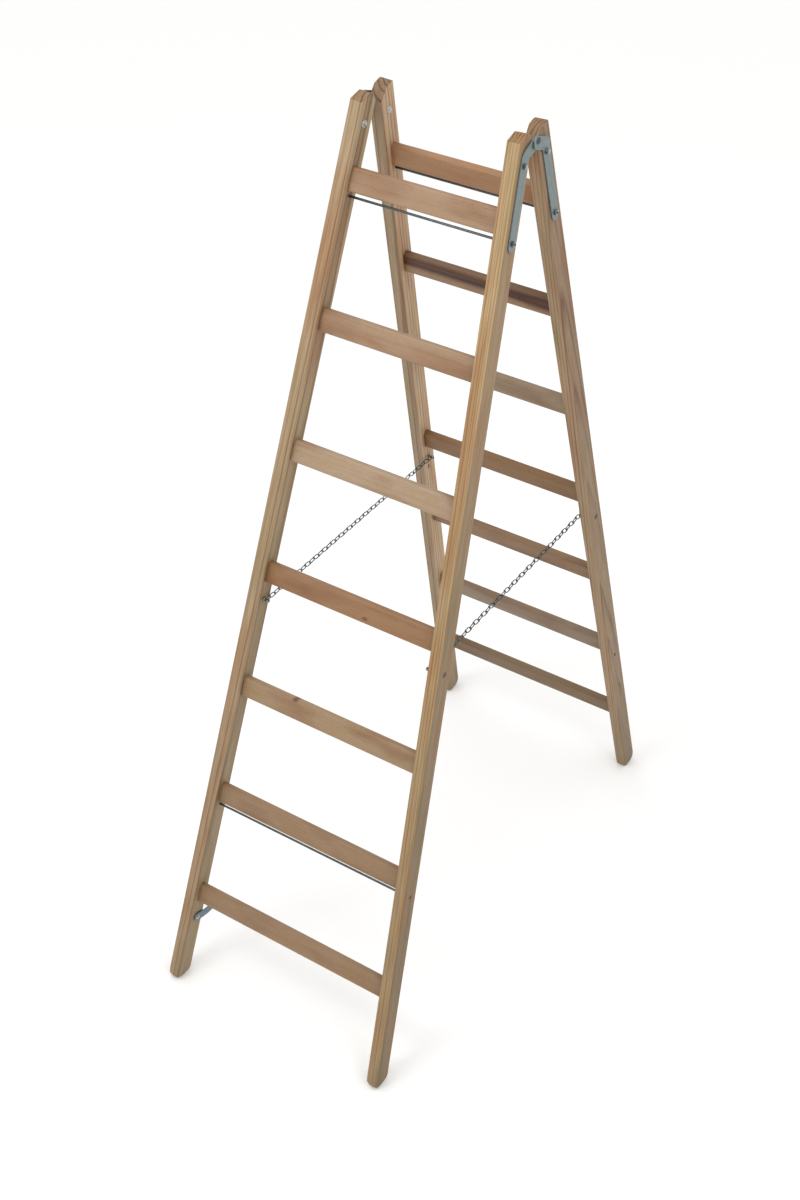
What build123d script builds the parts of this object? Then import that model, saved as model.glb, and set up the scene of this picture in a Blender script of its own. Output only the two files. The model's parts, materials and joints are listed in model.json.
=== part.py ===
from build123d import *
import os
from math import cos, radians, sin, tan

# A double-sided wooden stepladder: two pine sections with beech rungs, hinged at the top by
# steel straps and held open by two chains. Millimetres, +Z up, +X along the rungs, the front
# section towards -Y. The origin is on the floor, in the middle of the four feet.
#
# Each section is drawn upright first. There x runs along the rungs, "out" is the distance in
# front of the hinge plane and "rise" is the height above the hinge axis. Right-hand pieces of
# the front section are drawn, and the others are their mirror images.

# Stance
lean_angle = 16.8           # each section from upright, with the chains taut
splay_angle = 3.16          # each stile outwards, so that the section widens downwards
fold_gap = 13.5             # between the two sections when they are folded together

# Stiles
clear_width = 307.0         # between the stiles, at the height of the hinge axis
stile_thickness = 28.0
stile_depth = 48.0
stile_edge_radius = 2.5
foot_below_rung = 250.0     # from the bottom rung to the sawn end of the foot
foot_flat = 26.0            # part of the foot that is cut level to stand on the floor
foot_heel_radius = 14.0     # on the outer corner of the foot
foot_toe_radius = 8.0       # on the inner corner of the foot

# Tops of the stiles, sawn square to their faces: rises above the hinge axis, depths from the back edge
front_top_inner_rise = -5.0
front_ridge_start = 15.0
front_ridge_end = 21.0
front_ridge_rise = 9.7
front_top_outer_rise = -7.0
rear_top_inner_rise = -16.0
rear_ridge_start = 25.0
rear_ridge_end = 42.0
rear_ridge_rise = 5.0
rear_top_outer_rise = 3.0
ridge_radius = 4.0

# Rungs
rung_count = 7
rung_pitch = 280.0
first_rung_drop = 151.0     # from the hinge axis down to the top rung
rung_height = 48.0
rung_thickness = 19.0
rung_edge_radius = 5.0
tenon_length = 18.0
tenon_height = 34.0
tenon_thickness = 11.0
tenon_clearance = 0.1

# Tie rods, under the top rung and under the last rung but one
tie_rod_diameter = 5.0
tie_rod_gap = 6.5           # between the rung and the rod
tie_rod_hole_clearance = 0.15
rod_head_diameter = 9.0     # peened end of a lower rod
rod_head_height = 1.8

# Hinge straps
strap_width = 25.0
strap_thickness = 3.0
strap_arm_angle = 35.0      # of the arm that reaches up to the hinge axis
strap_eye_offset = 4.0      # of the hinge axis above the middle of the arm
strap_end_roundness = 0.48  # radius at the lower corners, as a share of the width
strap_bolt_drop = 45.5      # from the hinge axis down to the upper bolt
strap_end_margin = 16.5     # of strap below its lower fastener
strap_outer_bend_radius = 34.0
strap_inner_bend_radius = 14.0
strap_bend_margin = 7.5     # of strap above the upper bolt before it leaves the stile
strap_joggle_run = 18.0     # over which the rear strap steps out past the front one
eye_gap = 0.2               # between the two straps at the hinge axis
rivet_diameter = 8.0
rivet_running_clearance = 0.1
rivet_inner_clearance = 0.75    # from the rivet's inner head to the stiles
rivet_inner_head_height = 2.5
rivet_outer_head_diameter = 13.0
rivet_outer_head_height = 3.5

# Hinge bolts: round heads inside, nuts outside
hinge_bolt_diameter = 6.0
hinge_bolt_hole_clearance = 0.15
hinge_bolt_head_diameter = 16.0
hinge_bolt_head_height = 3.5
nut_width = 10.0            # across the flats
nut_height = 5.0
nut_bore_clearance = 0.05
thread_end = 1.5            # of bolt or rod beyond its nut
head_top_share = 0.55       # flat top of a round head, as a share of its diameter

# Chains
chain_rung = 4
chain_below_rung = 66.0     # from that rung down to the chain bolts
chain_wire = 2.2
link_width = 10.8
link_pitch = 16.3           # nearly: the chain takes a whole, odd number of links
link_clearance = 0.3
link_corner_cut = 2.0
chain_bolt_diameter = 5.0
chain_bolt_hole_clearance = 0.15
chain_bolt_head_diameter = 12.0
chain_bolt_head_height = 2.4
chain_end_play = 1.6        # on each side of the end link, along its bolt
chain_spacer_diameter = 10.0
chain_spacer_height = 4.5
chain_nut_width = 8.0
chain_nut_height = 4.0

# Transport hook, on the front left stile, and its catch on the rear left stile
hook_below_rung = 71.0      # from the bottom rung down to the hook's screw
hook_thickness = 3.0
hook_eye_radius = 10.5
hook_belly = 13.0           # of the arm's lower edge below its line, half way along
hook_waist = 9.0            # of the arm's upper edge above its line, half way along
hook_head_radius = 15.0
hook_head_lift = 8.0        # of the mouth above the line of the arm
hook_head_top = 14.0        # of the prongs above the line of the arm
hook_mouth_radius = 6.0
hook_screw_diameter = 6.0
hook_screw_clearance = 0.15
hook_screw_head_diameter = 13.0
hook_screw_head_height = 3.0
hook_screw_length = 24.0    # of shank in the stile
hook_washer_diameter = 14.0
hook_washer_height = 1.0
hook_play = 0.3             # between the hook, its washer and the head of its screw
catch_rise = 22.0           # of the catch screw above the line of the hook's arm
catch_play = 1.5            # between the hook and the head of the catch screw
catch_screw_diameter = 6.0

# Values that follow from these
lean = radians(lean_angle)
splay = radians(splay_angle)
inner_out = fold_gap / 2
middle_out = inner_out + stile_depth / 2
outer_out = inner_out + stile_depth
bottom_rung_drop = first_rung_drop + (rung_count - 1) * rung_pitch
foot_drop = bottom_rung_drop + foot_below_rung
hinge_height = foot_drop * cos(lean) - (inner_out + foot_flat) * sin(lean)
tie_rod_below_rung = rung_height / 2 + tie_rod_gap + tie_rod_diameter / 2
chain_stack = chain_spacer_height + chain_end_play + chain_wire / 2

front_top = [
    (inner_out, front_top_inner_rise),
    (inner_out + front_ridge_start, front_ridge_rise),
    (inner_out + front_ridge_end, front_ridge_rise),
    (outer_out, front_top_outer_rise),
]
rear_top = [
    (inner_out, rear_top_inner_rise),
    (inner_out + rear_ridge_start, rear_ridge_rise),
    (inner_out + rear_ridge_end, rear_ridge_rise),
    (outer_out, rear_top_outer_rise),
]


def rung_rise(number):
    return -first_rung_drop - (number - 1) * rung_pitch


upper_rod_rise = rung_rise(1) - tie_rod_below_rung
lower_rod_rise = rung_rise(rung_count - 1) - tie_rod_below_rung
chain_rise = rung_rise(chain_rung) - chain_below_rung
hook_rise = rung_rise(rung_count) - hook_below_rung
strap_bend_rise = strap_bend_margin - strap_bolt_drop


def inner_x(rise):
    """Where the inner face of the right stile is, at a rise."""
    return clear_width / 2 - rise * tan(splay)


def outer_x(rise):
    return inner_x(rise) + stile_thickness / cos(splay)


def stand(shape, section, side="right"):
    """Move a piece of the upright front section, right-hand side, to its place in the ladder."""
    if side == "left":
        shape = mirror(shape, about=Plane.YZ)
    if section == "rear":
        shape = mirror(shape, about=Plane.XZ)
    lean_over = -lean_angle if section == "front" else lean_angle
    return Pos(0, 0, hinge_height) * Rot(lean_over, 0, 0) * shape


def pair(shape, section):
    """The right-hand and left-hand copies of a fastener, as one group of solids."""
    return Compound(children=[*stand(shape, section).solids(), *stand(shape, section, "left").solids()])


def outline(points, rounds=()):
    """A closed face through (out, rise) points, with some of its corners rounded."""
    face = make_face(Polyline(*points, close=True))
    for number, radius in rounds:
        corner = face.vertices().sort_by_distance(Vector(*points[number]))[0]
        face = fillet(corner, radius)
    return face


def from_side(face, start_x, end_x):
    """The prism of an (out, rise) face from one x to another."""
    on_side = Plane((start_x, 0, 0), x_dir=(0, -1, 0), z_dir=(-1, 0, 0))
    return extrude(on_side * face, amount=start_x - end_x)


def from_front(points, start_out, end_out):
    """The prism of an outline in x and rise, from one distance out to another."""
    in_front = Plane((0, -start_out, 0), x_dir=(1, 0, 0), z_dir=(0, -1, 0))
    return extrude(in_front * make_face(Polyline(*points, close=True)), amount=end_out - start_out)


def along_x(radius, start_x, end_x, out, rise):
    rod = Cylinder(radius, end_x - start_x, rotation=(0, 90, 0))
    return Pos((start_x + end_x) / 2, -out, rise) * rod


def on_outer_face(rise):
    """A frame on the outer face of the right stile, half way across it, with z square to the face."""
    return Location((outer_x(rise), -middle_out, rise), (0, 90 - splay_angle, 0))


def on_inner_face(rise):
    """The same on the inner face, with z pointing away from the wood."""
    return Location((inner_x(rise), -middle_out, rise), (0, -90 - splay_angle, 0))


def on_left_inner_face(rise):
    """On the left stile: x towards the hinge plane, y up the stile, z away from the wood."""
    away = (cos(splay), 0, -sin(splay))
    return Plane((-inner_x(rise), -middle_out, rise), x_dir=(0, 1, 0), z_dir=away)


def post(radius, start, end):
    """A round post along z."""
    return Pos(0, 0, (start + end) / 2) * Cylinder(radius, end - start)


def ring(outer_radius, inner_radius, start, end):
    return Pos(0, 0, start) * extrude(Circle(outer_radius) - Circle(inner_radius), amount=end - start)


def round_head(diameter, height):
    """A round head with a bevelled edge that stands on z = 0."""
    return Pos(0, 0, height / 2) * Cone(diameter / 2, diameter / 2 * head_top_share, height)


def hex_nut(width, height, bore_radius, start):
    blank = RegularPolygon(width / 2, 6, major_radius=False)
    return Pos(0, 0, start) * extrude(blank - Circle(bore_radius), amount=height)


def stile(top):
    """A right stile: a board with its edges rounded and its top sawn square, splayed, with a level foot."""
    high, low = stile_depth, -foot_drop - stile_depth
    side_view = outline(top + [(outer_out, low), (inner_out, low)], [(1, ridge_radius), (2, ridge_radius)])
    wood = from_side(side_view, 0, stile_thickness)
    wood = fillet(wood.edges().filter_by(Axis.Z), stile_edge_radius)
    wood = Location((inner_x(0), 0, 0), (0, -splay_angle, 0)) * wood
    toe_rise = -foot_drop + foot_flat * tan(lean)
    foot_view = [
        (inner_out, high),
        (inner_out, toe_rise),
        (inner_out + foot_flat, -foot_drop),
        (outer_out, -foot_drop),
        (outer_out, high),
    ]
    foot = outline(foot_view, [(1, foot_toe_radius), (3, foot_heel_radius)])
    wood &= from_side(foot, 0, 2 * outer_x(low))
    return wood - [mortise(number) for number in range(1, rung_count + 1)]


def mortise(number):
    rise = rung_rise(number)
    reach = inner_x(rise) + tenon_length + tenon_clearance
    play = 2 * tenon_clearance
    return Pos(0, -middle_out, rise) * Box(2 * reach, tenon_thickness + play, tenon_height + play)


def rung(number):
    """A rung cut to the slant of the stiles, with a tenon at each end."""
    rise = rung_rise(number)
    top, bottom = rise + rung_height / 2, rise - rung_height / 2
    shape = [(inner_x(top), top), (-inner_x(top), top), (-inner_x(bottom), bottom), (inner_x(bottom), bottom)]
    body = from_front(shape, middle_out - rung_thickness / 2, middle_out + rung_thickness / 2)
    body = fillet(body.edges().filter_by(Axis.X), rung_edge_radius)
    tenons = Box(2 * (inner_x(rise) + tenon_length), tenon_thickness, tenon_height)
    return body + Pos(0, -middle_out, rise) * tenons


def rod_hole(rise):
    radius = tie_rod_diameter / 2 + tie_rod_hole_clearance
    return along_x(radius, 0, 2 * outer_x(rise), middle_out, rise)


def face_hole(frame, diameter, clearance):
    """A hole square through the right stile, at a frame on one of its faces."""
    return frame * post(diameter / 2 + clearance, -2 * stile_thickness, stile_thickness)


def screw_hole(rise):
    radius = hook_screw_diameter / 2 + hook_screw_clearance
    return on_inner_face(rise) * post(radius, -hook_screw_length, stile_thickness)


def nut_seat_x(rise):
    """Where a nut on a tie rod clears the slanted strap, with its corners too."""
    corner_radius = nut_width / 3 ** 0.5
    return outer_x(rise - corner_radius) + strap_thickness / cos(splay)


def upper_tie_rod():
    end = nut_seat_x(upper_rod_rise) + nut_height + thread_end
    return along_x(tie_rod_diameter / 2, -end, end, middle_out, upper_rod_rise)


def upper_rod_nut():
    nut = hex_nut(nut_width, nut_height, tie_rod_diameter / 2 + nut_bore_clearance, 0)
    return Location((nut_seat_x(upper_rod_rise), -middle_out, upper_rod_rise), (0, 90, 0)) * nut


def lower_tie_rod():
    """A plain rod whose ends are peened over on the outer faces of the stiles."""
    seat = outer_x(lower_rod_rise - rod_head_diameter / 2)
    head = round_head(rod_head_diameter, rod_head_height)
    right = Location((seat, -middle_out, lower_rod_rise), (0, 90, 0)) * head
    rod = along_x(tie_rod_diameter / 2, -seat, seat, middle_out, lower_rod_rise)
    return rod + right + mirror(right, about=Plane.YZ)


def strap_outline():
    """The strap seen from the side: a bar up the stile, and an arm that reaches past the hinge axis."""
    half = strap_width / 2
    arm = radians(strap_arm_angle)
    across = Vector(sin(arm), cos(arm))
    arm_end = -strap_eye_offset * across
    corner_rise = arm_end.Y - (middle_out - arm_end.X) * tan(arm)
    mitre = half * tan((radians(90) - arm) / 2)
    upper_end = arm_end + half * across
    lower_end = arm_end - half * across
    end_rise = upper_rod_rise - strap_end_margin
    points = [
        (middle_out + half, end_rise),
        (middle_out + half, corner_rise + mitre),
        (upper_end.X, upper_end.Y),
        (lower_end.X, lower_end.Y),
        (middle_out - half, corner_rise - mitre),
        (middle_out - half, end_rise),
    ]
    end_radius = strap_width * strap_end_roundness
    rounds = [(0, end_radius), (5, end_radius), (1, strap_outer_bend_radius), (4, strap_inner_bend_radius)]
    return outline(points, rounds) + Pos(arm_end.X, arm_end.Y) * Circle(half)


def front_eye_x():
    return outer_x(strap_bend_rise)


def rear_eye_x():
    return front_eye_x() + strap_thickness + eye_gap


def hinge_strap(section):
    """A strap that lies on the slanted stile and turns square to the hinge axis at its eye."""
    low = upper_rod_rise - strap_end_margin - strap_width
    high = strap_width
    slant_thickness = strap_thickness / cos(splay)
    inside = [(outer_x(low), low), (outer_x(strap_bend_rise), strap_bend_rise)]
    if section == "rear":
        inside.append((rear_eye_x(), strap_bend_rise + strap_joggle_run))
        inside.append((rear_eye_x(), high))
    else:
        inside.append((front_eye_x(), high))
    outside = [(x + slant_thickness, rise) for x, rise in reversed(inside[:2])]
    outside = [(x + strap_thickness, rise) for x, rise in reversed(inside[2:])] + outside
    reach = middle_out + strap_width
    bent_sheet = from_front(inside + outside, -reach, reach)
    cut = from_side(strap_outline(), 0, 2 * outer_x(low))
    fit = rivet_running_clearance if section == "rear" else 0
    holes = [
        along_x(rivet_diameter / 2 + fit, 0, 2 * outer_x(low), 0, 0),
        rod_hole(upper_rod_rise),
        face_hole(on_outer_face(-strap_bolt_drop), hinge_bolt_diameter, hinge_bolt_hole_clearance),
    ]
    return (bent_sheet & cut) - holes


def hinge_rivet():
    """The rivet on which the two straps turn, with a flat head inside and a domed one outside."""
    inner_radius = inner_out - rivet_inner_clearance
    inside = front_eye_x()
    outside = rear_eye_x() + strap_thickness + rivet_running_clearance
    shank = along_x(rivet_diameter / 2, inside, outside, 0, 0)
    flat_head = along_x(inner_radius, inside - rivet_inner_head_height, inside, 0, 0)
    head = round_head(rivet_outer_head_diameter, rivet_outer_head_height)
    return shank + flat_head + Location((outside, 0, 0), (0, 90, 0)) * head


def hinge_bolt():
    """A coach bolt through stile and strap, with its round head on the inner face."""
    end = strap_thickness + nut_height + thread_end
    shank = post(hinge_bolt_diameter / 2, -stile_thickness, end)
    head = round_head(hinge_bolt_head_diameter, hinge_bolt_head_height)
    inside = Location((0, 0, -stile_thickness), (180, 0, 0))
    return on_outer_face(-strap_bolt_drop) * (shank + inside * head)


def hinge_nut():
    nut = hex_nut(nut_width, nut_height, hinge_bolt_diameter / 2 + nut_bore_clearance, strap_thickness)
    return on_outer_face(-strap_bolt_drop) * nut


def chain_nut_start():
    """From the inner face to the nut beyond the end link."""
    return chain_spacer_height + chain_wire + 2 * chain_end_play


def chain_bolt():
    """A bolt through the stile that carries the end link between a spacer and a nut."""
    end = chain_nut_start() + chain_nut_height + thread_end
    shank = post(chain_bolt_diameter / 2, -stile_thickness, end)
    head = round_head(chain_bolt_head_diameter, chain_bolt_head_height)
    outside = Location((0, 0, -stile_thickness), (180, 0, 0))
    return on_inner_face(chain_rise) * (shank + outside * head)


def chain_spacer():
    """A thick washer that keeps the end link off the stile."""
    bore = chain_bolt_diameter / 2 + nut_bore_clearance
    return on_inner_face(chain_rise) * ring(chain_spacer_diameter / 2, bore, 0, chain_spacer_height)


def chain_nut():
    bore = chain_bolt_diameter / 2 + nut_bore_clearance
    return on_inner_face(chain_rise) * hex_nut(chain_nut_width, chain_nut_height, bore, chain_nut_start())


def cut_corner_face(half_length, half_width, cut):
    """A long octagon, the outline of a chain link."""
    quarter = [(half_length - cut, half_width), (half_length, half_width - cut)]
    right = quarter + [(x, -y) for x, y in reversed(quarter)]
    left = [(-x, y) for x, y in reversed(right)]
    return make_face(Polyline(*right, *left, close=True))


def chain_link(inner_length):
    """A link along y, standing in the plane of y and z."""
    outer = cut_corner_face(inner_length / 2 + chain_wire, link_width / 2, link_corner_cut)
    inner = Rectangle(inner_length, link_width - 2 * chain_wire)
    return extrude(Plane.YZ * (outer - inner), amount=chain_wire / 2, both=True)


def right_chain():
    """The front and the rear half of the right chain, taut between its two bolts."""
    anchor = stand(on_inner_face(chain_rise) * Vertex(0, 0, chain_stack), "front").center()
    first_inner_end = anchor.Y - chain_bolt_diameter / 2 - link_clearance / 2
    reach = -2 * first_inner_end
    count = 2 * round((reach / link_pitch - 1) / 2) + 1
    pitch = (reach - link_clearance) / count
    flat_link = chain_link(pitch + link_clearance)
    upright_link = Rot(0, 90, 0) * flat_link
    links = []
    for number in range(count):
        y = first_inner_end + (pitch + link_clearance) / 2 + number * pitch
        links.append(Pos(anchor.X, y, anchor.Z) * (upright_link if number % 2 else flat_link))
    print(f"chain of {count} links, pitch {pitch:.3f}, bolt at {anchor.X:.3f} {anchor.Y:.3f} {anchor.Z:.3f}")
    middle = (count + 1) // 2
    return Compound(children=links[:middle]), Compound(children=links[middle:])


def hook_mouth():
    """Where the catch screw lies in the hook, along and above the line of the hook's arm."""
    catch_out = 2 * middle_out
    along = (catch_out ** 2 + catch_rise ** 2 - hook_head_lift ** 2) ** 0.5
    return along, hook_head_lift


def hook_arm(along, tip_bottom, tip_top):
    """The curved arm: its lower edge hangs in a belly, and its upper edge has a waist."""
    lower = ThreePointArc((0, -hook_eye_radius), (along / 2, -hook_belly), (along, tip_bottom))
    upper = ThreePointArc((along, tip_top), (along / 2, hook_waist), (0, hook_eye_radius))
    tip = Line((along, tip_bottom), (along, tip_top))
    root = Line((0, hook_eye_radius), (0, -hook_eye_radius))
    return make_face([lower, tip, upper, root])


def transport_hook():
    """A flat curved arm with an eye for its screw and an open mouth that takes the catch screw."""
    along, lift = hook_mouth()
    arm = hook_arm(along, lift - hook_head_radius, hook_head_top)
    head = Pos(along, lift) * Circle(hook_head_radius)
    above = Pos(along, hook_head_top + hook_head_radius) * Rectangle(4 * hook_head_radius, 2 * hook_head_radius)
    slot = Pos(along, lift + hook_head_radius) * Rectangle(2 * hook_mouth_radius, 2 * hook_head_radius)
    plate = Circle(hook_eye_radius) + arm + (head - above)
    plate -= slot + Pos(along, lift) * Circle(hook_mouth_radius)
    plate -= Circle(hook_screw_diameter / 2 + hook_screw_clearance)
    start = hook_washer_height + hook_play
    solid = Pos(0, 0, start) * extrude(plate, amount=hook_thickness)
    return on_left_inner_face(hook_rise) * solid


def hook_screw():
    seat = hook_washer_height + hook_thickness + 2 * hook_play
    shank = post(hook_screw_diameter / 2, -hook_screw_length, seat)
    head = Pos(0, 0, seat) * round_head(hook_screw_head_diameter, hook_screw_head_height)
    return on_left_inner_face(hook_rise) * (shank + head)


def hook_washer():
    bore = hook_screw_diameter / 2 + hook_screw_clearance
    return on_left_inner_face(hook_rise) * ring(hook_washer_diameter / 2, bore, 0, hook_washer_height)


def catch_screw():
    seat = hook_washer_height + hook_thickness + hook_play + catch_play
    shank = post(catch_screw_diameter / 2, -hook_screw_length, seat)
    head = Pos(0, 0, seat) * round_head(hook_screw_head_diameter, hook_screw_head_height)
    return on_left_inner_face(hook_rise + catch_rise) * (shank + head)


parts = {}
tops = {"front": front_top, "rear": rear_top}
hook_screw_rises = {"front": hook_rise, "rear": hook_rise + catch_rise}

for section, top in tops.items():
    holes = [
        rod_hole(upper_rod_rise),
        rod_hole(lower_rod_rise),
        face_hole(on_outer_face(-strap_bolt_drop), hinge_bolt_diameter, hinge_bolt_hole_clearance),
        face_hole(on_inner_face(chain_rise), chain_bolt_diameter, chain_bolt_hole_clearance),
    ]
    board = stile(top) - holes
    parts[f"{section}_right_stile"] = stand(board, section)
    parts[f"{section}_left_stile"] = stand(board - screw_hole(hook_screw_rises[section]), section, "left")
    for number in range(1, rung_count + 1):
        parts[f"{section}_rung_{number}"] = stand(rung(number), section)
    parts[f"{section}_upper_tie_rod"] = stand(upper_tie_rod(), section)
    parts[f"{section}_lower_tie_rod"] = stand(lower_tie_rod(), section)
    parts[f"{section}_tie_rod_nuts"] = pair(upper_rod_nut(), section)
    parts[f"{section}_right_hinge_strap"] = stand(hinge_strap(section), section)
    parts[f"{section}_left_hinge_strap"] = stand(hinge_strap(section), section, "left")
    parts[f"{section}_hinge_bolts"] = pair(hinge_bolt(), section)
    parts[f"{section}_hinge_nuts"] = pair(hinge_nut(), section)
    parts[f"{section}_chain_bolts"] = pair(chain_bolt(), section)
    parts[f"{section}_chain_washers"] = pair(chain_spacer(), section)
    parts[f"{section}_chain_nuts"] = pair(chain_nut(), section)

parts["hinge_rivets"] = pair(hinge_rivet(), "front")

front_half, rear_half = right_chain()
parts["right_chain_front_half"] = front_half
parts["right_chain_rear_half"] = rear_half
parts["left_chain_front_half"] = mirror(front_half, about=Plane.YZ)
parts["left_chain_rear_half"] = mirror(rear_half, about=Plane.YZ)

parts["transport_hook"] = stand(transport_hook(), "front")
parts["hook_screw"] = stand(hook_screw(), "front")
parts["hook_washer"] = stand(hook_washer(), "front")
parts["catch_screw"] = stand(catch_screw(), "rear")

os.makedirs("parts", exist_ok=True)
for name, shape in parts.items():
    export_step(shape, f"parts/{name}.step")
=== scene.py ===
# %% [markdown]
# # A wooden stepladder, dressed
# The solid model of this ladder is built already: each stile, rung, strap, bolt and chain is a node
# with its real size and place. This lesson gives the nodes their looks: planed pine, smooth beech and
# zinc-plated steel. The ladder could be modelled again from nothing, but then it would no longer fit
# its own joints, so every piece here starts from its node. We load the nodes. The dressed ladder has
# to stay inside it.

# %% Load the model
import json
from math import cos, pi, radians, sin, tan

import bmesh
import bpy
from mathutils import Matrix, Vector

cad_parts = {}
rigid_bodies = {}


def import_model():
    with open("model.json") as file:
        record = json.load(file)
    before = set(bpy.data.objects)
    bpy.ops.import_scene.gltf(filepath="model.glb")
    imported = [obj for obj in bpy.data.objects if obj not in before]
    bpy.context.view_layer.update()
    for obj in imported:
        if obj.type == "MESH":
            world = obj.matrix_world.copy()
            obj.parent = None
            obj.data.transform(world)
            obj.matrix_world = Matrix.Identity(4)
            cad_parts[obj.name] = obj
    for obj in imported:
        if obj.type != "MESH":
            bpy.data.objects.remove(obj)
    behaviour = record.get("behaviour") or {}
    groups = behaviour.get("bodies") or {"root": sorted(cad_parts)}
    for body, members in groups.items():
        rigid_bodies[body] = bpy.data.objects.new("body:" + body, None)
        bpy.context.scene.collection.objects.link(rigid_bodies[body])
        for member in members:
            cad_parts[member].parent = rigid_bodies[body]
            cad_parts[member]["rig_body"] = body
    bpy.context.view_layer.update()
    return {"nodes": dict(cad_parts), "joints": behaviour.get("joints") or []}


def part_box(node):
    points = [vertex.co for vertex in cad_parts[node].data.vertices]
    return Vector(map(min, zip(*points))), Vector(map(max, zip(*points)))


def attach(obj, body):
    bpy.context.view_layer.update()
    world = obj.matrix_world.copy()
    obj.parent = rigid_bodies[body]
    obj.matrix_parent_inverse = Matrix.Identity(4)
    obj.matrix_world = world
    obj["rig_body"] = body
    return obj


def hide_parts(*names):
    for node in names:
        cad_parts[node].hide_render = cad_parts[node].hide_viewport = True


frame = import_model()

scene = bpy.context.scene
MM = 0.001                  # Blender counts in metres

# %% [markdown]
# ## The camera
# The photograph was taken from in front, to the right, and well above the ladder: we look down on its
# hinges. A camera needs a place, a point to aim at, and a lens. They could be set by eye, but here
# they were worked out from rungs and bolts, whose places on the ladder and in the picture are both
# known. The lens is given by how many pixels one metre takes up at a distance of one metre. The small
# roll is there because the ladder stands a little crooked in the picture.

# %% Camera
PHOTO_HEIGHT = 1200
FOCAL_PIXELS = 1651.3
SENSOR_HEIGHT = 36.0        # mm
CAMERA_PLACE = Vector((1.48273, -2.54105, 3.16182))
CAMERA_AIM = Vector((0.12651, -0.32997, 1.12177))
CAMERA_ROLL = radians(1.5325)


def looking(place, aim_at):
    """The matrix of a camera or a lamp at a place, turned towards a point."""
    turn = (Vector(aim_at) - Vector(place)).to_track_quat("-Z", "Y").to_matrix().to_4x4()
    return Matrix.Translation(Vector(place)) @ turn


camera = bpy.data.objects.new("camera", bpy.data.cameras.new("camera"))
scene.collection.objects.link(camera)
camera.data.sensor_fit = "VERTICAL"
camera.data.sensor_height = SENSOR_HEIGHT
camera.data.lens = SENSOR_HEIGHT * FOCAL_PIXELS / PHOTO_HEIGHT
camera.matrix_world = looking(CAMERA_PLACE, CAMERA_AIM) @ Matrix.Rotation(CAMERA_ROLL, 4, "Z")
scene.camera = camera
print(f"lens {camera.data.lens:.1f} mm")

# %% [markdown]
# ## Colours and nodes
# Colours are picked as the hex values of a paint program. Those are coded for a screen, while
# light is added up in plain linear numbers, so one function turns the first into the second. A
# material is a net of nodes. It could be drawn by hand in the shader editor, but a net in code can be
# read from top to bottom and used again with other numbers, so one function adds a node and links it.

# %% Helpers for materials


def linear(hex_colour):
    """The linear colour of an sRGB hex value."""
    values = [int(hex_colour[i:i + 2], 16) / 255 for i in (1, 3, 5)]
    return [v / 12.92 if v <= 0.04045 else ((v + 0.055) / 1.055) ** 2.4 for v in values] + [1.0]


def new_material(name):
    """A material, with the shader that every new material has."""
    material = bpy.data.materials.new(name)
    material.use_nodes = True
    return material, material.node_tree.nodes["Principled BSDF"]


def output_of(node):
    """The first output of a node that is in use."""
    return next(output for output in node.outputs if output.enabled)


def add(material, kind, inputs=None, stops=None, **settings):
    """Add a node with its settings and a ramp's stops. An input is a number, a hex colour, a socket
    to link, or a node, of which the first output in use is linked."""
    node = material.node_tree.nodes.new("ShaderNode" + kind)
    for name, value in settings.items():
        setattr(node, name, value)
    for name, value in (inputs or {}).items():
        if isinstance(value, bpy.types.Node):
            value = output_of(value)
        if isinstance(value, bpy.types.NodeSocket):
            material.node_tree.links.new(value, node.inputs[name])
        else:
            node.inputs[name].default_value = linear(value) if isinstance(value, str) else value
    for number, (position, colour) in enumerate(stops or []):
        ramp = node.color_ramp.elements
        element = ramp[number] if number < len(ramp) else ramp.new(position)
        element.position = position
        element.color = linear(colour)
    return node


def finish_with(material, shader, colour, roughness, bump):
    """Link the patterns of a finished material to its shader."""
    for name, pattern in (("Base Color", colour), ("Roughness", roughness), ("Normal", bump)):
        material.node_tree.links.new(output_of(pattern), shader.inputs[name])


print("a screen's mid grey in linear light:", round(linear("#808080")[0], 3))

# %% [markdown]
# ## The studio floor
# The photograph is a catalogue picture: white all round, with no horizon. A curved backdrop is what a
# photographer would hang, but as we look down on the ladder a flat floor fills the whole picture. It
# is matt paper, so it takes the shadow of the feet and no reflection.

# %% Floor
FLOOR_SIZE = 60.0           # metres, so that its far edge lies outside the picture

half = FLOOR_SIZE / 2
floor_corners = [(-half, -half, 0), (half, -half, 0), (half, half, 0), (-half, half, 0)]
floor_mesh = bpy.data.meshes.new("floor")
floor_mesh.from_pydata(floor_corners, [], [(0, 1, 2, 3)])
floor = bpy.data.objects.new("floor", floor_mesh)
scene.collection.objects.link(floor)

paper, paper_shader = new_material("pale_paper_floor")
paper_shader.inputs["Base Color"].default_value = linear("#FDFDFC")
paper_shader.inputs["Roughness"].default_value = 0.9
floor_mesh.materials.append(paper)
print("floor of", FLOOR_SIZE, "m")

# %% [markdown]
# ## The studio light
# The light is soft and comes from all sides, a little more from above and from the front left. One
# lamp would leave hard shadows, so most of the light comes from the world itself: a room with a white
# ceiling and greyer walls, which keeps the upright sides of the wood darker than the level ones. Two
# large lamps add a direction. The larger a lamp is, the softer its shadows are. The plain sRGB view
# shows a white floor as white.

# %% Room and lamps
ROOM_STRENGTH = 1.03
WALLS = "#D4D4D4"
CEILING = "#FFFFFF"
LAMPS = {"key_light": ((-0.8, -1.9, 3.7), 27.5), "side_light": ((1.8, -0.8, 3.4), 9)}  # place, watts
LAMP_SIZE = 1.2             # metres
LAMP_AIM = (0, 0, 1.8)

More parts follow.
